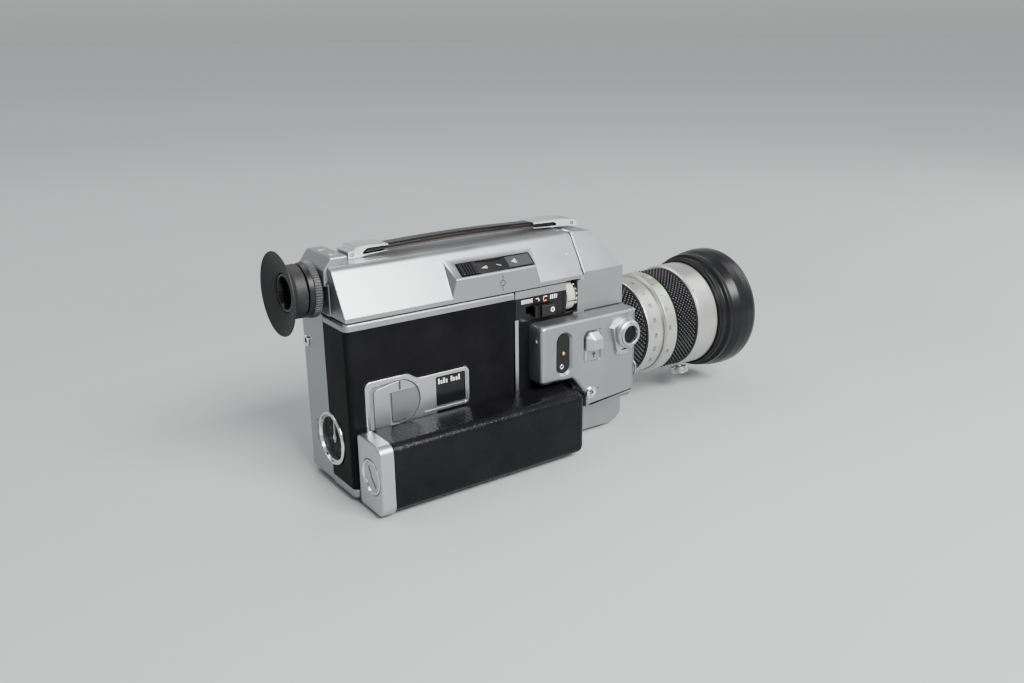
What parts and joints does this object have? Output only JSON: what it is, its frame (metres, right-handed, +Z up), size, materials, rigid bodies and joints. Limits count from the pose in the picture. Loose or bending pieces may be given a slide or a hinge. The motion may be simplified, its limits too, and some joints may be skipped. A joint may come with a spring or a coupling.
{
  "type": "cine camera",
  "caption": "Cartridge-film cine camera with zoom lens, hood, eyepiece and eyecup, carrying strap, side controls and a battery grip folded along its side.",
  "frame": {"origin": "middle of the underside of the base plate that the camera stands on", "axes": "+X forward along the lens axis, +Y to the camera's left side, +Z up"},
  "size_m": [0.29, 0.0898, 0.1215],
  "materials": {
    "silver_alloy": "satin",
    "satin_aluminium": "brushed satin",
    "scale_silver": "matte satin",
    "chrome_trim": "polished",
    "steel_parts": "satin",
    "leatherette": "pebbled",
    "grip_leatherette": "smooth, slightly glossy",
    "black_plastic": "satin",
    "gloss_black": "gloss",
    "black_rubber": "matte",
    "black_alloy": "black anodised, satin",
    "cream_plastic": "satin",
    "brass_gear": "satin",
    "lens_glass": "coated, gloss"
  },
  "bodies": {
    "camera_body": {"main_casting": "silver_alloy", "base_plate": "black_rubber", "tripod_bush": "steel_parts", "left_cover": "silver_alloy", "left_leatherette": "leatherette", "film_door": "silver_alloy", "door_leatherette": "leatherette", "door_hinge_strip": "chrome_trim", "latch_frame": "satin_aluminium", "film_window": "gloss_black", "top_cover": "silver_alloy", "finder_rear_block": "silver_alloy", "top_screw_left": "steel_parts", "top_screw_right": "steel_parts", "front_housing": "silver_alloy", "finder_tube": "black_plastic", "eyecup": "black_rubber", "eyepiece_lens": "lens_glass", "handle_strap": "leatherette", "rear_strap_bracket": "chrome_trim", "front_strap_bracket": "chrome_trim", "lens_barrel": "black_alloy", "side_housing": "silver_alloy", "contact_insert": "black_plastic", "mode_dial_base": "chrome_trim", "release_socket": "chrome_trim", "exposure_panel": "gloss_black", "counter_bezel": "chrome_trim", "counter_dial": "black_plastic", "counter_glass": "lens_glass", "remote_socket": "chrome_trim", "grip_pivot_pin": "steel_parts", "film_gate": "steel_parts", "drive_motor": "steel_parts"},
    "zoom_ring": {"zoom_grip_ring": "black_rubber", "zoom_scale_ring": "scale_silver"},
    "focus_ring": {"focus_scale_ring": "scale_silver", "focus_grip_ring": "black_rubber", "front_ring": "scale_silver", "front_lens": "lens_glass", "lens_hood": "black_alloy", "focus_knob": "chrome_trim"},
    "dioptre_adjuster": {"dioptre_ring": "black_plastic"},
    "zoom_rocker_key": {"zoom_rocker": "gloss_black"},
    "run_slide": {"run_switch": "satin_aluminium"},
    "mode_selector": {"mode_dial": "chrome_trim"},
    "exposure_slide": {"exposure_lever": "black_plastic"},
    "aperture_wheel": {"aperture_drum": "cream_plastic"},
    "trigger_button": {"shutter_trigger": "chrome_trim"},
    "latch_lock": {"latch_slide": "satin_aluminium"},
    "latch_finger_flap": {"latch_flap": "satin_aluminium"},
    "counter_pointer": {"counter_hand": "cream_plastic"},
    "battery_grip": {"grip_shell": "grip_leatherette", "grip_end_cap": "satin_aluminium"},
    "grip_lock_screw": {"grip_cap_screw": "satin_aluminium"},
    "speed_selector": {"speed_dial": "satin_aluminium"},
    "check_button": {"battery_check_button": "satin_aluminium"},
    "takeup": {"takeup_spindle": "black_plastic"},
    "shutter": {"shutter_disc": "steel_parts"},
    "motor_rotor": {"motor_pinion": "brass_gear"}
  },
  "joints": [
    {"name": "zoom_turn", "type": "hinge", "parent": "camera_body", "child": "zoom_ring", "pos_m": [0.07, 0, 0.047], "axis": [1, 0, 0], "range_deg": [-20, 70]},
    {"name": "focus_turn", "type": "hinge", "parent": "camera_body", "child": "focus_ring", "pos_m": [0.101, 0, 0.047], "axis": [1, 0, 0], "range_deg": [-60, 180]},
    {"name": "dioptre_turn", "type": "hinge", "parent": "camera_body", "child": "dioptre_adjuster", "pos_m": [-0.1085, 0, 0.1015], "axis": [1, 0, 0], "range_deg": [-30, 30]},
    {"name": "zoom_rocker_tilt", "type": "hinge", "parent": "camera_body", "child": "zoom_rocker_key", "pos_m": [-0.014, -0.02401, 0.10484], "axis": [0, 0.7816, 0.6238], "range_deg": [-3, 3], "stiffness_Nm_per_rad": 0.05},
    {"name": "run_switch_slide", "type": "slide", "parent": "camera_body", "child": "run_slide", "axis": [0, 0, 1], "range_m": [-0.006, 0]},
    {"name": "mode_dial_turn", "type": "hinge", "parent": "camera_body", "child": "mode_selector", "pos_m": [0.0596, -0.0391, 0.0592], "axis": [0, -1, 0], "range_deg": [-60, 60]},
    {"name": "exposure_lever_slide", "type": "slide", "parent": "camera_body", "child": "exposure_slide", "axis": [1, 0, 0], "range_m": [-0.0095, 0.0025]},
    {"name": "aperture_wheel_turn", "type": "hinge", "parent": "camera_body", "child": "aperture_wheel", "pos_m": [0.028, -0.0212, 0.0812], "axis": [1, 0, 0], "range_deg": [-120, 120]},
    {"name": "trigger_press", "type": "slide", "parent": "camera_body", "child": "trigger_button", "axis": [-1, 0, 0], "range_m": [0, 0.002], "stiffness_N_per_m": 400},
    {"name": "latch_lock_slide", "type": "slide", "parent": "camera_body", "child": "latch_lock", "axis": [-1, 0, 0], "range_m": [0, 0.0024], "stiffness_N_per_m": 200},
    {"name": "latch_flap_fold", "type": "hinge", "parent": "latch_lock", "child": "latch_finger_flap", "pos_m": [-0.0784, -0.02895, 0.0475], "axis": [0, 0, -1], "range_deg": [0, 90]},
    {"name": "counter_pointer_turn", "type": "hinge", "parent": "camera_body", "child": "counter_pointer", "pos_m": [-0.0987, -0.0062, 0.027], "axis": [1, 0, 0], "range_deg": [0, 290]},
    {"name": "grip_fold", "type": "hinge", "parent": "camera_body", "child": "battery_grip", "pos_m": [0.0085, -0.0295, 0.02], "axis": [0, -1, 0], "range_deg": [0, 90]},
    {"name": "grip_cap_screw_turn", "type": "hinge", "parent": "battery_grip", "child": "grip_lock_screw", "pos_m": [-0.098, -0.042, 0.0195], "axis": [1, 0, 0], "range_deg": [0, 90]},
    {"name": "speed_dial_turn", "type": "hinge", "parent": "camera_body", "child": "speed_selector", "pos_m": [0.05, 0.0282, 0.045], "axis": [0, 1, 0], "range_deg": [-45, 45]},
    {"name": "battery_check_press", "type": "slide", "parent": "camera_body", "child": "check_button", "axis": [0, -1, 0], "range_m": [0, 0.0015], "stiffness_N_per_m": 300},
    {"name": "shutter_spin", "type": "hinge", "parent": "camera_body", "child": "shutter", "pos_m": [-0.002, 0.008, 0.058], "axis": [1, 0, 0], "continuous": true},
    {"name": "motor_spin", "type": "hinge", "parent": "camera_body", "child": "motor_rotor", "pos_m": [0.003, 0.01578, 0.04873], "axis": [1, 0, 0], "continuous": true},
    {"name": "takeup_spin", "type": "hinge", "parent": "camera_body", "child": "takeup", "pos_m": [-0.056, 0, 0.047], "axis": [0, 1, 0], "continuous": true}
  ],
  "couplings": [
    {"joint": "motor_spin", "follows": "shutter_spin", "ratio": -3},
    {"joint": "takeup_spin", "follows": "shutter_spin", "ratio": 0.04}
  ]
}
